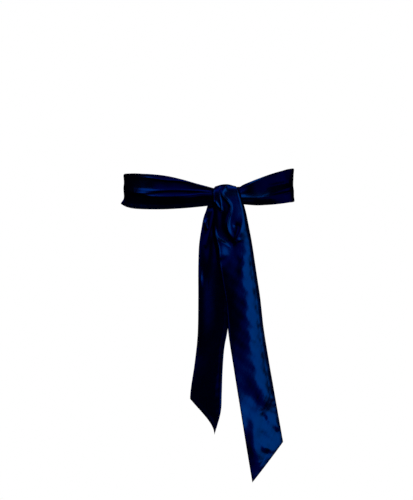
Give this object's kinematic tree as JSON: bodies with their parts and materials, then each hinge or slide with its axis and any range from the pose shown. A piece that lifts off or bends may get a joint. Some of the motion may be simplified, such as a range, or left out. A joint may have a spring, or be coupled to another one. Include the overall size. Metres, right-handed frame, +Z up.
{
  "type": "satin waist sash tied in front",
  "caption": "Long narrow satin sash worn round the waist, tied once in front, its two slant-cut ends hanging unevenly over the skirt.",
  "frame": {"origin": "middle of the wearer's waist, at the height of the narrowest part of the band", "axes": "+X to the right as seen from the front, +Y to the back, +Z up; the knot and both ends are at the front, on the -Y side"},
  "size_m": [0.267, 0.2744, 0.4516],
  "materials": {
    "satin": "navy blue polyester satin, smooth and lustrous, two layers sewn into a flat tube"
  },
  "bodies": {
    "root": {"waist_band": "satin", "knot_bundle": "satin", "knot_turn": "satin", "falling_end": "satin", "under_end": "satin"}
  },
  "joints": []
}
